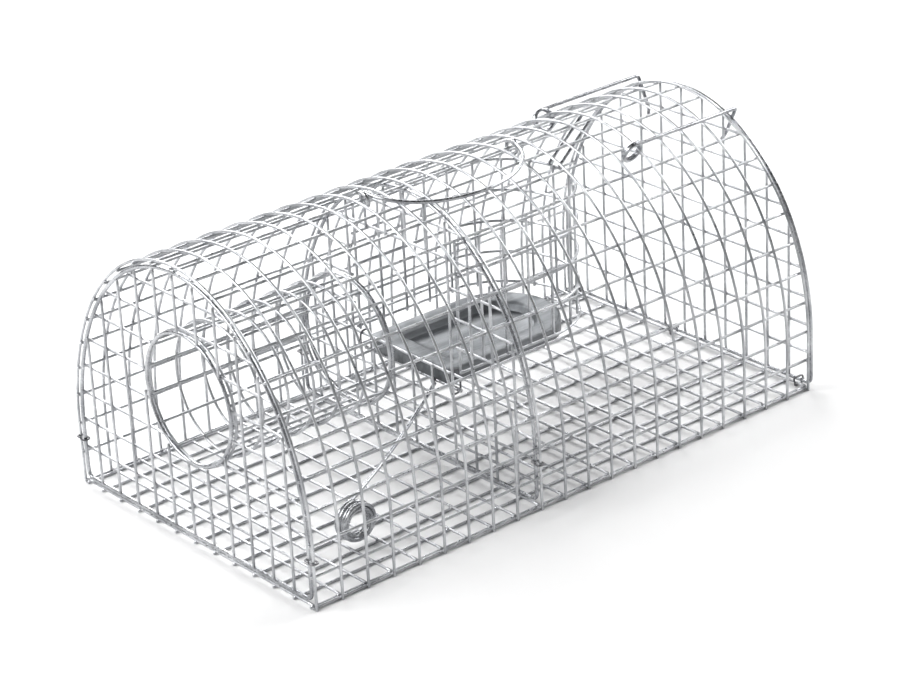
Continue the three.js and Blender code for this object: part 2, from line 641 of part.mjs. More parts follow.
// ---- carry handle: a bail whose two eyes ride on a roof wire ----
function buildHandle() {
  const { y, z } = onArch(barAt(archBays / 2), -r);
  const bayOf = (x) => hoopX(Math.round((x - hoopX(0)) / hoopPitch - 0.5) + 0.5);
  const low = bayOf(HANDLE_MIDDLE - HANDLE_SPAN / 2);
  const high = bayOf(HANDLE_MIDDLE + HANDLE_SPAN / 2);
  const span = (high - low) / 2;
  // folded, the bail slopes down to the first hoop that stops it
  const middle = (low + high) / 2;
  const slopes = Array.from({ length: baysLong + 1 }, (_, i) => Math.abs(hoopX(i) - middle))
    .filter((u) => u < span)
    .map((u) => {
      const out = HANDLE_REACH * Math.sqrt(1 - (u / span) ** 2);
      return Math.atan((z + EYE_RADIUS - f - HANDLE_CLEARANCE - archHeightAt(out, WIRE)) / out);
    });
  const lie = Math.min(...slopes);
  const band = (grow, target) => {
    const steps = 20;
    for (let i = 0; i <= steps; i += 1) {
      const angle = (Math.PI * i) / steps;
      const u = (span + grow) * Math.cos(angle);
      const v = (HANDLE_REACH + grow) * Math.sin(angle);
      target.push(new THREE.Vector2(u, v));
    }
    return target;
  };
  const shape = new THREE.Shape([...band(f, []), ...band(-f, []).reverse()]);
  const bail = new THREE.ExtrudeGeometry(shape, { depth: FRAME_WIRE, bevelEnabled: false });
  bail.rotateZ(Math.PI).translate(0, 0, EYE_RADIUS - f);
  const eyes = [-span, span].map((u) => ringAlongX(u - f, FRAME_WIRE, EYE_RADIUS - f, EYE_RADIUS + f, 12));
  const geometry = geometryOf(joined([bail, ...eyes].map(solidOf)));
  geometry.rotateX(lie);
  add('carry_handle', geometry.translate(middle, y, z), brightWire);
}

buildSkin();
buildFloor();
buildFrontEnd();
buildTunnel();
buildPartition();
buildPan();
buildHood();
buildDoor();
buildClips();
buildLatch('latch_near', -1);
buildLatch('latch_far', 1);
buildHandle();

export default trap;
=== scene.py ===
"""Looks for a live catch trap: an arched cage of welded wire mesh with a tilting pan.

Every wire is round. The mesh is shown at its full pitch, with a bead of zinc at each weld.
Metres, in the row frame: +X from the entry to the rear door, +Y to the far wall, +Z up.
"""

import math

import bpy
from mathutils import Matrix, Vector, noise


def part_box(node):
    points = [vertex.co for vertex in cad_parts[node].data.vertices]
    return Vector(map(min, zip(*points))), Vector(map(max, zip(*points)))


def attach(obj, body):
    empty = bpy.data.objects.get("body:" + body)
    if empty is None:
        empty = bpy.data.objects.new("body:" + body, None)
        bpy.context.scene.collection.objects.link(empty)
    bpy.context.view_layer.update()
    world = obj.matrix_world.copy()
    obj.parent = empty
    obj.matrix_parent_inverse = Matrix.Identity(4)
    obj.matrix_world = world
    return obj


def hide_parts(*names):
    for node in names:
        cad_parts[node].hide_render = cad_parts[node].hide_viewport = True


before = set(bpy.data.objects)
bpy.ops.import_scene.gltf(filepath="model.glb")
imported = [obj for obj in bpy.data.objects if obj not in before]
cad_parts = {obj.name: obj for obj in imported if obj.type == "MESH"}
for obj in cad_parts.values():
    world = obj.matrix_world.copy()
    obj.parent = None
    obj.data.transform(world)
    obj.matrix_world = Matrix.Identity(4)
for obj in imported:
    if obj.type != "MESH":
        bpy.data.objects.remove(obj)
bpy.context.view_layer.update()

# ---- sizes ----
WIRE = 0.0018  # mesh wire
FRAME_WIRE = 0.0025  # frames, pivot, lever, handle and latches
CLIP_WIRE = 0.00125
WELD_SINK = 0.00012  # how far each wire sinks into the other at a weld
STUB = 0.0004  # what a mesh wire stands past its last crossing
GAP = 0.0003
LEG_HEIGHT = 0.0381
MESH_PITCH = 0.01905
BEND = 0.006  # radius of the frames' corners

HOOPS = 22
LONG_WIRES = 25
FLOOR_BAYS = 12
TUNNEL_RADIUS = 0.041
TUNNEL_WIRES = 14
TUNNEL_RINGS = 7
MOUTH_CLEARANCE = 0.0004  # from the mouth's ring to the cut ends of the front mesh
HOOD_UPRIGHTS = 17
HOOD_ROWS = 5

PAN_RIM = 0.013  # beside the sunk middle
PAN_FRONT_EXTRA = 0.001  # by which the rim is wider in front
PAN_REAR_EXTRA = 0.003
PAN_SINK = 0.006
PAN_SHEET = 0.0005
PAN_CORNER = 0.003
COIL_TURNS = 4
INNER_TURNS = 2
LATCH_HOOP = 17
LATCH_WIRE_FROM_RIDGE = 2
LATCH_SHIFT = 0.0048
LATCH_EYE = 0.0068
LATCH_HANG = 0.0028  # of the eye's middle, in front of its hoop and below it
HOOK_LENGTH = 0.026
HANDLE_EYE = 0.00425
HANDLE_REACH = 0.040

SIDES = 9  # of a swept wire
CAP_REACH = 0.25  # of a wire's rounded end past its path, in radii
CAP_SHARE = 0.72  # radius of that end, of the wire's
CURVE_STEP = 0.005
RIPPLE = 0.0003  # how far a mesh wire wanders from true

BEAD_REACH = 0.0013  # of the zinc round a weld
BEAD_DEPTH = 1.05  # of that zinc, in radii of the wire

r = WIRE / 2
f = FRAME_WIRE / 2


def corners(*nodes):
    """The box round several CAD nodes."""
    boxes = [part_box(node) for node in nodes]
    low = Vector(min(box[0][i] for box in boxes) for i in range(3))
    high = Vector(max(box[1][i] for box in boxes) for i in range(3))
    return low, high


SKIN = ("skin_near_wall", "skin_near_shoulder", "skin_roof", "skin_far_shoulder", "skin_far_wall")
HOOD = ("hood_near_side", "hood_near_bend", "hood_end", "hood_far_bend", "hood_far_side")
FRONT_MESH = ("front_mesh_near", "front_mesh_far", "front_mesh_below_mouth", "front_mesh_above_mouth")
TUNNEL = (
    "tunnel_far_upper", "tunnel_top", "tunnel_near_upper",
    "tunnel_near_lower", "tunnel_bottom", "tunnel_far_lower",
)
PARTITION = (
    "partition_below_doorway", "partition_beside_doorway_near", "partition_beside_doorway_far",
    "partition_above_doorway",
)
CLIPS = (
    "hinge_ring_near", "hinge_ring_middle", "hinge_ring_far", "pivot_eye_near", "pivot_eye_far",
    "front_clip_near", "front_clip_far", "partition_clip_near", "partition_clip_far",
)
skin_low, skin_high = corners(*SKIN)
hood_low, hood_high = corners(*HOOD)
half_width = skin_high.y - WIRE
roof_z = skin_high.z - WIRE
arch_rise = roof_z - LEG_HEIGHT
front_x = skin_low.x + STUB
rear_x = skin_high.x - STUB
hoop_pitch = (rear_x - front_x - WIRE) / (HOOPS - 1)
tunnel_axis = sum(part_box("tunnel_mouth_ring"), Vector()) / 2
end_inset = -WIRE - GAP - f  # of the two end frames, inside the skin
sill_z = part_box("partition_below_doorway")[1].z
head_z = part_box("partition_above_doorway")[0].z
doorway_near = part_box("partition_beside_doorway_near")[1].y
doorway_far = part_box("partition_beside_doorway_far")[0].y


def hoop_x(i):
    return front_x + r + i * hoop_pitch


# ---- the arch: upright feet and half an ellipse, measured along its length ----
def arch_outline(inset=0.0, foot=0.0, steps=180):
    """Points (y, z) of the arch, inset from the mesh plane when negative."""
    a, b = half_width + inset, arch_rise + inset
    points = [Vector((-a, foot))]
    for i in range(steps + 1):
        angle = math.pi - math.pi * i / steps
        points.append(Vector((a * math.cos(angle), LEG_HEIGHT + b * math.sin(angle))))
    points.append(Vector((a, foot)))
    return points


arch_points = arch_outline()
arch_run = [0.0]
for before, after in zip(arch_points, arch_points[1:]):
    arch_run.append(arch_run[-1] + (after - before).length)
arch_length = arch_run[-1]


def on_arch(s, h=0.0):
    """The point (y, z) at s along the arch and h outside it, and the outward normal."""
    i = 1
    while i < len(arch_run) - 1 and arch_run[i] < s:
        i += 1
    share = (s - arch_run[i - 1]) / (arch_run[i] - arch_run[i - 1])
    along = (arch_points[i] - arch_points[i - 1]).normalized()
    normal = Vector((-along.y, along.x))
    return arch_points[i - 1].lerp(arch_points[i], share) + h * normal, normal


def long_wire_s(k):
    start = r + STUB
    return start + k * (arch_length - 2 * start) / (LONG_WIRES - 1)


def arch_height_at(y, inset):
    a = half_width + inset
    return LEG_HEIGHT + (arch_rise + inset) * math.sqrt(max(0.0, 1 - (y / a) ** 2))


def arch_half_width_at(z, inset):
    a = half_width + inset
    if z <= LEG_HEIGHT:
        return a
    return a * math.sqrt(max(0.0, 1 - ((z - LEG_HEIGHT) / (arch_rise + inset)) ** 2))


# ---- wires ----
def add_wire(verts, faces, path, radius, closed=False, sides=SIDES):
    """Adds a round wire along a path of points, with slightly rounded cut ends."""
    count = len(path)
    tangents = []
    for i in range(count):
        ahead = path[(i + 1) % count] if closed or i < count - 1 else path[i]
        behind = path[i - 1] if closed or i > 0 else path[i]
        tangents.append((ahead - behind).normalized())
    side = tangents[0].orthogonal().normalized()
    first = len(verts)
    rings = 0

    def ring(centre, tangent, scale):
        nonlocal rings
        up = tangent.cross(side)
        for n in range(sides):
            angle = 2 * math.pi * n / sides
            verts.append(centre + radius * scale * (math.cos(angle) * side + math.sin(angle) * up))
        rings += 1

    if not closed:
        ring(path[0] - CAP_REACH * radius * tangents[0], tangents[0], CAP_SHARE)
    for i in range(count):
        side = (side - side.dot(tangents[i]) * tangents[i]).normalized()
        ring(path[i], tangents[i], 1.0)
    if not closed:
        ring(path[-1] + CAP_REACH * radius * tangents[-1], tangents[-1], CAP_SHARE)
    spans = rings if closed else rings - 1
    for i in range(spans):
        a = first + i * sides
        b = first + ((i + 1) % rings) * sides
        for n in range(sides):
            m = (n + 1) % sides
            faces.append((a + n, a + m, b + m, b + n))
    if not closed:
        faces.append(tuple(first + n for n in reversed(range(sides))))
        last = first + (rings - 1) * sides
        faces.append(tuple(last + n for n in range(sides)))


def add_bead(verts, faces, centre, one_way, other_way, reach, depth):
    """Adds a low zinc bead: an ellipsoid whose flat plane holds two directions."""
    normal = one_way.cross(other_way).normalized()
    rows, columns = 4, 8
    first = len(verts)
    verts.append(centre - depth * normal)
    for i in range(1, rows):
        tilt = -math.pi / 2 + math.pi * i / rows
        for n in range(columns):
            angle = 2 * math.pi * n / columns
            flat = math.cos(angle) * one_way + math.sin(angle) * other_way
            verts.append(centre + reach * math.cos(tilt) * flat + depth * math.sin(tilt) * normal)
    verts.append(centre + depth * normal)
    last = len(verts) - 1
    for n in range(columns):
        m = (n + 1) % columns
        faces.append((first, first + 1 + m, first + 1 + n))
        for i in range(rows - 2):
            a = first + 1 + i * columns
            faces.append((a + n, a + m, a + columns + m, a + columns + n))
        top = first + 1 + (rows - 2) * columns
        faces.append((last, top + n, top + m))


def piece(name, verts, faces, body, stands_for, material):
    """A smooth-shaded object that rides on a body and stands for CAD nodes."""
    mesh = bpy.data.meshes.new(name)
    mesh.from_pydata([tuple(v) for v in verts], [], faces)
    mesh.polygons.foreach_set("use_smooth", [True] * len(faces))
    mesh.set_sharp_from_angle(angle=math.radians(50))
    mesh.materials.append(material)
    made = bpy.data.objects.new(name, mesh)
    bpy.context.scene.collection.objects.link(made)
    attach(made, body)
    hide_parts(*stands_for)
    return made


def steps_between(start, end, step):
    count = max(1, math.ceil(abs(end - start) / step))
    return [start + (end - start) * i / count for i in range(count + 1)]


def ripple(u, v, seed):
    """How far a wire wanders at (u, v) on its sheet: along u, along v and out of it."""
    spot = Vector((u / MESH_PITCH * 0.37, v / MESH_PITCH * 0.31, seed))
    return RIPPLE * noise.noise_vector(spot)


def room(value, spans):
    """How far a value lies from the nearest end of the span that holds it."""
    return max((min(value - low, high - value) for low, high in spans), default=-MESH_PITCH)


def welded_mesh(name, body, stands_for, outer, inner, place, closed=False, seed=0.0, flat=False):
    """Welded mesh: outer wires (u, v spans) over inner wires (v, u spans), on place(u, v, h)."""
    verts, faces = [], []
    lift = r - WELD_SINK

    def at(u, v, h, moves_u, moves_v):
        drift = ripple(u, v, seed)
        out = 0.0 if flat else drift.z
        return place(u + moves_u * drift.x, v + moves_v * drift.y, h + out)

    for u, spans in outer:
        for low, high in spans:
            stops = steps_between(low, high, CURVE_STEP)
            path = [at(u, v, lift, 1, 0) for v in (stops[:-1] if closed else stops)]
            add_wire(verts, faces, path, r, closed)
    for v, spans in inner:
        for low, high in spans:
            path = [at(u, v, -lift, 0, 1) for u in steps_between(low, high, CURVE_STEP * 1.5)]
            add_wire(verts, faces, path, r)
    for u, v_spans in outer:
        for v, u_spans in inner:
            if room(v, v_spans) >= -STUB and room(u, u_spans) >= -STUB:
                centre = at(u, v, 0.0, 1, 1)
                along_u = (at(u + r, v, 0.0, 1, 1) - centre).normalized()
                along_v = (at(u, v + r, 0.0, 1, 1) - centre).normalized()
                reach = min(BEAD_REACH, max(r, room(v, v_spans)))
                add_bead(verts, faces, centre, along_u, along_v, reach, BEAD_DEPTH * r)
    return piece(name, verts, faces, body, stands_for, mesh_metal)


def wire_piece(name, body, stands_for, paths, radius=f, closed=False, material=None):
    verts, faces = [], []
    for path in paths:
        add_wire(verts, faces, path, radius, closed, SIDES + 3)
    return piece(name, verts, faces, body, stands_for, material or wire_metal)


def without(spans, low, high):
    """The spans with the stretch from low to high left out."""
    left = []
    for start, end in spans:
        if start < low:
            left.append((start, min(end, low)))
        if end > high:
            left.append((max(start, high), end))
    return left


# ---- materials ----
def new_material(name):
    material = bpy.data.materials.new(name)
    material.use_nodes = True
    nodes, links = material.node_tree.nodes, material.node_tree.links
    return material, nodes, links, nodes["Principled BSDF"]


def colour_steps(nodes, *stops):
    ramp = nodes.new("ShaderNodeValToRGB")
    elements = ramp.color_ramp.elements
    while len(elements) < len(stops):
        elements.new(0.5)
    for element, (position, shade) in zip(elements, stops):
        element.position = position
        element.color = (*shade, 1)
    return ramp


def grain(nodes, links, coordinates, scale, detail=4.0, stretch=(1, 1, 1)):
    mapping = nodes.new("ShaderNodeMapping")
    mapping.inputs["Scale"].default_value = stretch
    texture = nodes.new("ShaderNodeTexNoise")
    texture.inputs["Scale"].default_value = scale
    texture.inputs["Detail"].default_value = detail
    links.new(coordinates.outputs["Object"], mapping.inputs["Vector"])
    links.new(mapping.outputs["Vector"], texture.inputs["Vector"])
    return texture


def multiplied(nodes, links, one, other, share=1.0):
    mix = nodes.new("ShaderNodeMix")
    mix.data_type = "RGBA"
    mix.blend_type = "MULTIPLY"
    mix.inputs["Factor"].default_value = share
    links.new(one, mix.inputs[6])
    links.new(other, mix.inputs[7])
    return mix.outputs[2]


def ranged(nodes, links, source, low, high):
    spread = nodes.new("ShaderNodeMapRange")
    spread.inputs["From Min"].default_value = 0.3
    spread.inputs["From Max"].default_value = 0.7
    spread.inputs["To Min"].default_value = low
    spread.inputs["To Max"].default_value = high
    links.new(source, spread.inputs["Value"])
    return spread.outputs["Result"]


def zinc(name, light, dark, spangle, rough, bump, stretch=(1, 1, 1)):
    """Galvanised steel: spangled zinc with duller patches and a fine uneven skin."""
    material, nodes, links, shader = new_material(name)
    coordinates = nodes.new("ShaderNodeTexCoord")
    crystals = nodes.new("ShaderNodeTexVoronoi")
    crystals.inputs["Scale"].default_value = spangle
    links.new(coordinates.outputs["Object"], crystals.inputs["Vector"])
    facets = colour_steps(nodes, (0.0, (0.86,) * 3), (1.0, (1.0,) * 3))
    links.new(crystals.outputs["Color"], facets.inputs["Fac"])
    patches = grain(nodes, links, coordinates, 45.0, stretch=stretch)
    tone = colour_steps(nodes, (0.36, dark), (0.62, light))
    links.new(patches.outputs["Fac"], tone.inputs["Fac"])
    colour = multiplied(nodes, links, tone.outputs["Color"], facets.outputs["Color"])
    links.new(colour, shader.inputs["Base Color"])
    fine = grain(nodes, links, coordinates, 420.0, stretch=stretch)
    links.new(ranged(nodes, links, fine.outputs["Fac"], *rough), shader.inputs["Roughness"])
    shader.inputs["Metallic"].default_value = 1.0
    skin = nodes.new("ShaderNodeBump")
    skin.inputs["Strength"].default_value = bump
    skin.inputs["Distance"].default_value = 0.00015
    links.new(fine.outputs["Fac"], skin.inputs["Height"])
    links.new(skin.outputs["Normal"], shader.inputs["Normal"])
    return material


mesh_metal = zinc("galvanised_mesh", (0.68, 0.69, 0.71), (0.42, 0.43, 0.45), 380.0, (0.24, 0.42), 0.35)
wire_metal = zinc("bright_wire", (0.58, 0.59, 0.61), (0.34, 0.35, 0.37), 300.0, (0.18, 0.34), 0.22)
# The clip wire's zinc is coloured much darker than the other wire as painted shade, so the rings and clips
# look shadowed.
shaded_clip_metal = zinc("clip_wire_painted_shade", (0.24, 0.24, 0.25), (0.12, 0.12, 0.13), 300.0, (0.30, 0.48), 0.30)
pan_metal = zinc(
    "pan_steel", (0.25, 0.26, 0.27), (0.15, 0.16, 0.17), 130.0, (0.42, 0.60), 0.25, stretch=(0.25, 2.2, 1),
)


# ---- cage ----
def build_skin():
    end = CAP_REACH * r
    hoops = [(hoop_x(i), [(end, arch_length - end)]) for i in range(HOOPS)]
    bars = [(long_wire_s(k), [(skin_low.x, skin_high.x)]) for k in range(LONG_WIRES)]

    def place(x, s, h):
        point, _ = on_arch(s, h)
        return Vector((x, point.x, point.y))

    welded_mesh("skin", "cage", SKIN, hoops, bars, place, seed=1.5)


def build_floor():
    low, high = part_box("floor_mesh")
    pitch = 2 * half_width / FLOOR_BAYS
    places = [-half_width + j * pitch for j in range(1, FLOOR_BAYS)]
    edge = high.y - r - STUB
    long_wires = [(y, [(low.x, high.x)]) for y in [-edge, *places, edge]]
    cross_wires = [(hoop_x(i), [(low.y, high.y)]) for i in range(HOOPS)]

    def place(x, y, h):
        return Vector((x, y, WIRE - WELD_SINK + h))

    welded_mesh("floor", "cage", ["floor_mesh"], cross_wires, long_wires, place, seed=7.5, flat=True)


def rounded(points, radius, closed, arc=5):
    """A path of points with its corners rounded."""
    path = []
    count = len(points)
    for i, corner in enumerate(points):
        if not closed and i in (0, count - 1):
            path.append(corner)
            continue
        back = points[i - 1] - corner
        onward = points[(i + 1) % count] - corner
        reach = min(radius, 0.45 * back.length, 0.45 * onward.length)
        start, end = corner + reach * back.normalized(), corner + reach * onward.normalized()
        for n in range(arc + 1):
            t = n / arc
            path.append((1 - t) ** 2 * start + 2 * t * (1 - t) * corner + t**2 * end)
    return path


def arch_frame(node, inset, body):
    """A closed frame wire round the arch, with a straight foot."""
    low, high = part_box(node)
    x = (low.x + high.x) / 2
    foot = low.z + f
    a, b = half_width + inset, arch_rise + inset
    steps = 64
    path = []
    for corner_y in (a, -a):
        side = math.copysign(1, corner_y)
        bend = rounded(
            [Vector((x, corner_y, foot + 2 * BEND)), Vector((x, corner_y, foot)),
             Vector((x, corner_y - side * 2 * BEND, foot))],
            BEND, closed=False,
        )
        path += bend if side > 0 else reversed(bend)
    for i in range(steps + 1):
        angle = math.pi - math.pi * i / steps
        path.append(Vector((x, a * math.cos(angle), LEG_HEIGHT + b * math.sin(angle))))
    wire_piece(node + "_wire", body, [node], [path], closed=True)


def flat_panel(name, nodes, inset, body, cut, seed):
    """An arch-shaped mesh panel: uprights in front, level wires behind them."""
    low, _ = corners(*nodes)
    pitch = 2 * half_width / FLOOR_BAYS
    foot = low.z
    uprights, levels = [], []
    for j in range(1, FLOOR_BAYS):
        y = -half_width + j * pitch
        top = arch_height_at(abs(y) + r, inset + GAP)
        uprights.append((y, cut("upright", y, [(foot - GAP, top)])))
    z = foot + MESH_PITCH
    heights = []
    while z < roof_z + inset - MESH_PITCH / 3:
        heights.append(z)
        z += MESH_PITCH
    for z in heights:
        reach = arch_half_width_at(z + r, inset + GAP)
        levels.append((z, cut("level", z, [(-reach, reach)])))

    def place(y, z, h):
        return Vector((low.x + WIRE - h, y, z))

    welded_mesh(name, body, nodes, uprights, levels, place, seed=seed)


def mouth_cut(kind, at, spans):
    """Wires of the front mesh stop at the round mouth."""
    reach = TUNNEL_RADIUS + f + MOUTH_CLEARANCE
    middle, across = tunnel_axis.z, tunnel_axis.y
    if kind == "level":
        middle, across = across, middle
    off = at - across
    if abs(off) >= reach:
        return spans
    chord = math.sqrt(reach**2 - off**2)
    return without(spans, middle - chord, middle + chord)


def doorway_cut(kind, at, spans):
    """Wires of the partition's mesh stop at the doorway."""
    if kind == "upright" and doorway_near < at < doorway_far:
        return without(spans, sill_z, head_z)
    if kind == "level" and sill_z < at < head_z:
        return without(spans, doorway_near, doorway_far)
    return spans


def uncut(kind, at, spans):
    return spans


def circle(centre, radius, axis, steps=48):
    start = axis.orthogonal().normalized()
    turns = [Matrix.Rotation(2 * math.pi * i / steps, 3, axis) for i in range(steps)]
    return [centre + radius * (turn @ start) for turn in turns]


def build_tunnel():
    low, high = corners(*TUNNEL)
    around = 2 * math.pi * TUNNEL_RADIUS
    ring_pitch = (high.x - low.x - WIRE - 2 * STUB) / (TUNNEL_RINGS - 1)
    rings = [(low.x + STUB + r + i * ring_pitch, [(0.0, around)]) for i in range(TUNNEL_RINGS)]
    bars = [((k + 0.5) * around / TUNNEL_WIRES, [(low.x, high.x)]) for k in range(TUNNEL_WIRES)]

    def place(x, s, h):
        angle = s / TUNNEL_RADIUS
        reach = TUNNEL_RADIUS + h
        return Vector((x, tunnel_axis.y + reach * math.cos(angle), tunnel_axis.z + reach * math.sin(angle)))

    welded_mesh("tunnel_mesh", "cage", TUNNEL, rings, bars, place, closed=True, seed=3.5, flat=True)
    for node in ("tunnel_mouth_ring", "tunnel_end_ring"):
        low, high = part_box(node)
        centre = (low + high) / 2
        radius = (high.y - low.y) / 2 - f
        wire_piece(node + "_wire", "cage", [node], [circle(centre, radius, Vector((1, 0, 0)))], closed=True)


def build_hood():
    middle = (hood_low.y + hood_high.y) / 2
    wall = hood_high.y - WIRE - middle
    start_x = hood_low.x
    straight = hood_high.x - WIRE - wall - start_x
    bend = math.pi * wall
    run = 2 * straight + bend
    first = STUB + r
    row_pitch = (hood_high.z - hood_low.z - 2 * first) / (HOOD_ROWS - 1)
    rows = [(hood_low.z + first + i * row_pitch, [(0.0, run)]) for i in range(HOOD_ROWS)]
    spacing = (run - 2 * first) / (HOOD_UPRIGHTS - 1)
    uprights = [(first + k * spacing, [(hood_low.z, hood_high.z)]) for k in range(HOOD_UPRIGHTS)]

    def place(z, s, h):
        side = wall + h
        if s <= straight:
            return Vector((start_x + s, middle - side, z))
        if s >= straight + bend:
            return Vector((start_x + run - s, middle + side, z))
        angle = (s - straight) / wall - math.pi / 2
        return Vector((start_x + straight + side * math.cos(angle), middle + side * math.sin(angle), z))

    welded_mesh("hood_mesh", "cage", HOOD, rows, uprights, place, seed=9.5)
    for node in ("hood_strut_near", "hood_strut_far"):
        low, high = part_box(node)
        y = (low.y + high.y) / 2
        foot, top = Vector((low.x + f, y, low.z)), Vector((high.x - f, y, high.z))
        path = [foot + Vector((-f, 0, -f)), foot, top, top + Vector((f, 0, f))]
        wire_piece(node + "_wire", "cage", [node], [rounded(path, f, closed=False)])


# ---- the tilting pan, its pivot and counterweight ----
def pan_ring(inset, z, low, high):
    """One closed line of the pan: a D whose corners are rounded."""
    share = min(1.0, inset / PAN_RIM)
    front = low.x + inset + share * PAN_FRONT_EXTRA
    rear = high.x - inset - share * PAN_REAR_EXTRA
    middle = (low.y + high.y) / 2
    half = (high.y - low.y) / 2 - inset
    corner = max(PAN_CORNER - inset, 0.0012)
    ring = []

    def arc(x, y, radius, start, end, steps):
        for i in range(steps + 1):
            angle = math.radians(start + (end - start) * i / steps)
            ring.append(Vector((x + radius * math.cos(angle), y + radius * math.sin(angle), z)))

    arc(front + corner, middle - half + corner, corner, 180, 270, 6)
    arc(rear - half, middle, half, -90, 90, 36)
    arc(front + corner, middle + half - corner, corner, 90, 180, 6)
    return ring


def build_pan():
    low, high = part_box("pan")
    top = high.z
    profile = [
        (0.0003, low.z), (0.0, low.z + 0.0006), (0.0, top - 0.0016), (0.0002, top - 0.0008),
        (0.0008, top - 0.0002), (0.0016, top), (0.0035, top - 0.0002), (PAN_RIM - 0.002, top - 0.0003),
        (PAN_RIM - 0.0008, top - 0.0007), (PAN_RIM, top - 0.0016),
        (PAN_RIM + 0.0008, top - PAN_SINK + 0.0008), (PAN_RIM + 0.002, top - PAN_SINK),
        (PAN_RIM + 0.012, top - PAN_SINK - 0.0004),
    ]
    shell = profile + [(inset + PAN_SHEET, z - PAN_SHEET) for inset, z in reversed(profile[3:])]
    shell += [(PAN_SHEET, profile[2][1] - PAN_SHEET), (PAN_SHEET, low.z)]
    verts, faces = [], []
    rings = [pan_ring(inset, z, low, high) for inset, z in shell]
    size = len(rings[0])
    for ring in rings:
        verts += ring
    middle = len(profile) - 1
    for i in range(len(rings)):
        if i == middle:
            continue
        a, b = i * size, (i + 1) % len(rings) * size
        for n in range(size):
            m = (n + 1) % size
            faces.append((a + n, a + m, b + m, b + n))
    faces.append(tuple(middle * size + n for n in range(size)))
    faces.append(tuple((middle + 1) * size + n for n in reversed(range(size))))
    piece("pan_sheet", verts, faces, "tilting_pan", ["pan"], pan_metal)


def build_counterweight():
    low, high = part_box("pan_pivot_wire")
    pivot = (low + high) / 2
    ends = [Vector((pivot.x, low.y, pivot.z)), Vector((pivot.x, high.y, pivot.z))]
    wire_piece("pivot_wire", "tilting_pan", ["pan_pivot_wire"], [ends])

    coil_low, coil_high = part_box("counterweight_coil")
    coil = (coil_low + coil_high) / 2
    outer = (coil_high.z - coil_low.z) / 2 - f
    inner = outer - FRAME_WIRE
    lever_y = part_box("counterweight_lever")[1].y - f
    path = []
    # the wire is hooked round the pivot, runs down to the coil and is wound up there
    hook = FRAME_WIRE + 0.1 * f
    for i in range(15):
        angle = math.radians(-60 + 300 * i / 14)
        offset = Vector((hook * math.cos(angle), 0, hook * math.sin(angle)))
        path.append(Vector((pivot.x, lever_y - 0.1 * f * i, pivot.z)) + offset)
    top_of_coil = Vector((coil.x, coil_high.y - f, coil.z + outer))
    start = path[-1]
    for share in (0.12, 0.3, 0.5, 0.7, 0.88, 0.96):
        sag = 0.004 * math.sin(math.pi * share)
        path.append(start.lerp(top_of_coil, share) + Vector((0, 0, -sag)))
    turns = COIL_TURNS + INNER_TURNS
    steps = 26
    for i in range(turns * steps + 1):
        turn = i / steps
        angle = math.pi / 2 + 2 * math.pi * turn
        if turn <= COIL_TURNS - 1:
            radius, y = outer, coil_high.y - f - turn * FRAME_WIRE
        else:
            step_in = min(1.0, (turn - COIL_TURNS + 1) * 1.5)
            radius = outer + (inner - outer) * step_in
            y = coil_low.y + f + max(0.0, turn - COIL_TURNS) * FRAME_WIRE
        radius += 0.0004 * math.sin(2.3 * turn)
        path.append(Vector((coil.x + radius * math.cos(angle), y, coil.z + radius * math.sin(angle))))
    wire_piece(
        "counterweight", "tilting_pan", ["counterweight_lever", "counterweight_coil"], [path],
    )


# ---- rings of thin wire, closed round the wires that they hold ----
def build_ring(node):
    """A rounded loop of clip wire whose ends meet side by side, to fit its CAD node."""
    low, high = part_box(node)
    size = high - low
    thin = min(range(3), key=lambda axis: size[axis])
    one, other = [axis for axis in range(3) if axis != thin]
    inset = CLIP_WIRE / 2
    points = []
    for a, b in ((0, 0), (1, 0), (1, 1), (0, 1)):
        point = (low + high) / 2
        point[one] = high[one] - inset if a else low[one] + inset
        point[other] = high[other] - inset if b else low[other] + inset
        points.append(point)
    start = (points[0] + points[3]) / 2
    loop = rounded([start, *points, start], min(size[one], size[other]) * 0.42, closed=False)
    shift = CLIP_WIRE * 0.5
    for i, point in enumerate(loop):
        point = point.copy()
        point[thin] += shift * (i / (len(loop) - 1) - 0.5)
        loop[i] = point
    wire_piece(node + "_wire", "cage", [node], [loop], radius=CLIP_WIRE / 2, material=shaded_clip_metal)


# ---- latches and handle ----
def build_latch(name, side, body):
    """An eye of two turns round a hoop, an arm to the rear and a hook over the door."""
    s = long_wire_s((LONG_WIRES - 1) // 2 + side * LATCH_WIRE_FROM_RIDGE) + side * LATCH_SHIFT
    point, normal = on_arch(s, r)
    origin = Vector((hoop_x(LATCH_HOOP), point.x, point.y))
    out = Vector((0, normal.x, normal.y))
    across = Vector((0, normal.y, -normal.x))
    ahead = Vector((1, 0, 0))
    eye = origin - LATCH_HANG * (ahead + out)
    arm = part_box(name)[1].x - origin.x - f
    path = []
    turns, steps = 1.9, 24
    for i in range(int(turns * steps) + 1):
        angle = math.pi / 2 + 2 * math.pi * (turns - i / steps)
        shift = (i / (turns * steps) - 1) * FRAME_WIRE * side
        circle_point = LATCH_EYE * (math.cos(angle) * ahead + math.sin(angle) * out)
        path.append(eye + circle_point + shift * across)
    rear = origin + (LATCH_EYE - LATCH_HANG) * out + arm * ahead
    hook = [rear, rear - HOOK_LENGTH * 0.82 * out, rear - HOOK_LENGTH * out - 0.0018 * ahead]
    path += rounded([path[-1] + f * ahead, *hook], 0.0022, closed=False)
    wire_piece(name + "_wire", body, [name], [path])


def handle_slope(low_eye, high_eye, eye_z):
    """Folded, the bail slopes down to the first hoop that stops it."""
    middle, span = (low_eye + high_eye) / 2, (high_eye - low_eye) / 2
    slopes = []
    for i in range(HOOPS):
        off = abs(hoop_x(i) - middle)
        if off < span:
            out = HANDLE_REACH * math.sqrt(1 - (off / span) ** 2)
            slopes.append(math.atan((eye_z + HANDLE_EYE - f - GAP - arch_height_at(out, WIRE)) / out))
    return min(slopes)


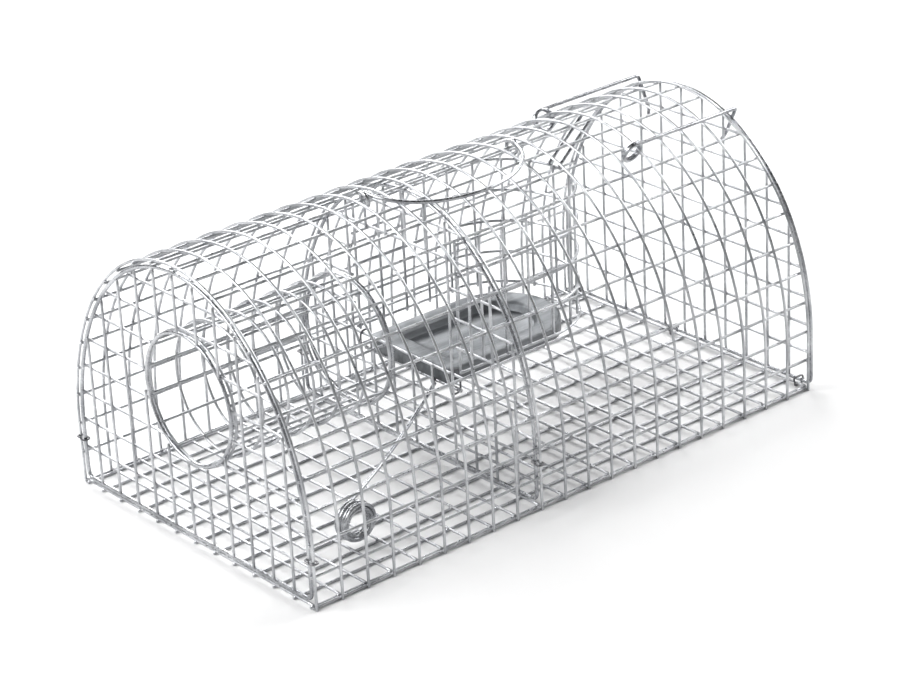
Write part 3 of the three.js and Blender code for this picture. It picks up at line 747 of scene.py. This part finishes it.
def build_handle():
    low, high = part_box("carry_handle")
    low_eye, high_eye = low.x + f, high.x - f
    middle, span = (low_eye + high_eye) / 2, (high_eye - low_eye) / 2
    pivot = Vector((middle, 0, roof_z - r))
    lie = handle_slope(low_eye, high_eye, pivot.z)
    out = Vector((0, -math.cos(lie), -math.sin(lie)))
    up = Vector((0, -math.sin(lie), math.cos(lie)))
    along = Vector((1, 0, 0))

    def eye(side):
        turn = []
        for i in range(33):
            angle = math.pi / 2 + math.radians(400) * (1 - i / 32)
            shift = side * (span + FRAME_WIRE * 1.05 * (1 - i / 32))
            turn.append(pivot + shift * along + HANDLE_EYE * (math.cos(angle) * out + math.sin(angle) * up))
        return turn

    bail = []
    steps = 56
    for i in range(1, steps):
        angle = math.pi * i / steps
        reach = HANDLE_REACH * math.sin(angle)
        bail.append(pivot - span * math.cos(angle) * along + reach * out + HANDLE_EYE * up)
    path = eye(-1) + bail + list(reversed(eye(1)))
    wire_piece("handle_wire", "handle", ["carry_handle"], [path])


# ---- scene ----
def build_stage():
    bpy.ops.mesh.primitive_plane_add(size=9.0)
    ground = bpy.context.object
    ground.name = "ground"
    material, nodes, links, shader = new_material("ground_paint")
    shader.inputs["Base Color"].default_value = (0.93, 0.93, 0.93, 1)
    shader.inputs["Roughness"].default_value = 0.75
    ground.data.materials.append(material)


def add_light(name, place, target, size, power):
    light = bpy.data.lights.new(name, "AREA")
    light.shape = "RECTANGLE"
    light.size, light.size_y = size
    light.energy = power
    lamp = bpy.data.objects.new(name, light)
    lamp.location = place
    lamp.rotation_euler = (Vector(target) - Vector(place)).to_track_quat("-Z", "Y").to_euler()
    bpy.context.scene.collection.objects.link(lamp)


def build_light():
    world = bpy.data.worlds.new("studio")
    bpy.context.scene.world = world
    world.use_nodes = True
    nodes, links = world.node_tree.nodes, world.node_tree.links
    coordinates = nodes.new("ShaderNodeTexCoord")
    height = nodes.new("ShaderNodeSeparateXYZ")
    sky = colour_steps(nodes, (0.0, (0.55,) * 3), (0.25, (0.35,) * 3), (0.65, (0.10,) * 3))
    links.new(coordinates.outputs["Generated"], height.inputs["Vector"])
    links.new(height.outputs["Z"], sky.inputs["Fac"])
    links.new(sky.outputs["Color"], nodes["Background"].inputs["Color"])
    nodes["Background"].inputs["Strength"].default_value = 1.0
    add_light("key", (-2.2, 1.0, 2.0), (0, 0, 0.05), (2.0, 1.4), 85)
    add_light("fill", (2.6, -0.4, 1.8), (0, 0, 0.05), (1.6, 1.2), 60)
    add_light("rim", (0.8, 2.6, 1.8), (0, 0, 0.05), (3.0, 1.0), 95)


def build_camera():
    target = Vector((-0.0044, -0.0065, 0.0624))
    distance = 1.947
    azimuth, elevation, roll = math.radians(39.24), math.radians(24.74), math.radians(-3.0)
    forward = Vector((
        math.sin(azimuth) * math.cos(elevation),
        math.cos(azimuth) * math.cos(elevation),
        -math.sin(elevation),
    ))
    camera = bpy.data.cameras.new("camera")
    camera.lens = 126.2
    camera.sensor_width = 36.0
    camera.clip_end = 50.0
    view = bpy.data.objects.new("camera", camera)
    aim = forward.to_track_quat("-Z", "Y").to_matrix().to_4x4()
    view.matrix_world = Matrix.Translation(target - distance * forward) @ aim @ Matrix.Rotation(roll, 4, "Z")
    bpy.context.scene.collection.objects.link(view)
    bpy.context.scene.camera = view


build_skin()
build_floor()
arch_frame("front_frame", end_inset, "cage")
flat_panel("front_mesh", FRONT_MESH, end_inset - f - GAP, "cage", mouth_cut, seed=11.5)
build_tunnel()
arch_frame("partition_frame", end_inset, "cage")
flat_panel("partition_mesh", PARTITION, end_inset - f - GAP, "cage", doorway_cut, seed=13.5)
build_pan()
build_counterweight()
build_hood()
arch_frame("door_frame", 0.0, "rear_door")
flat_panel("door_mesh", ["door_panel"], -f - GAP, "rear_door", uncut, seed=15.5)
for clip in CLIPS:
    build_ring(clip)
build_latch("latch_near", -1, "near_latch")
build_latch("latch_far", 1, "far_latch")
build_handle()
build_stage()
build_light()
build_camera()
bpy.context.scene.view_settings.view_transform = "Standard"
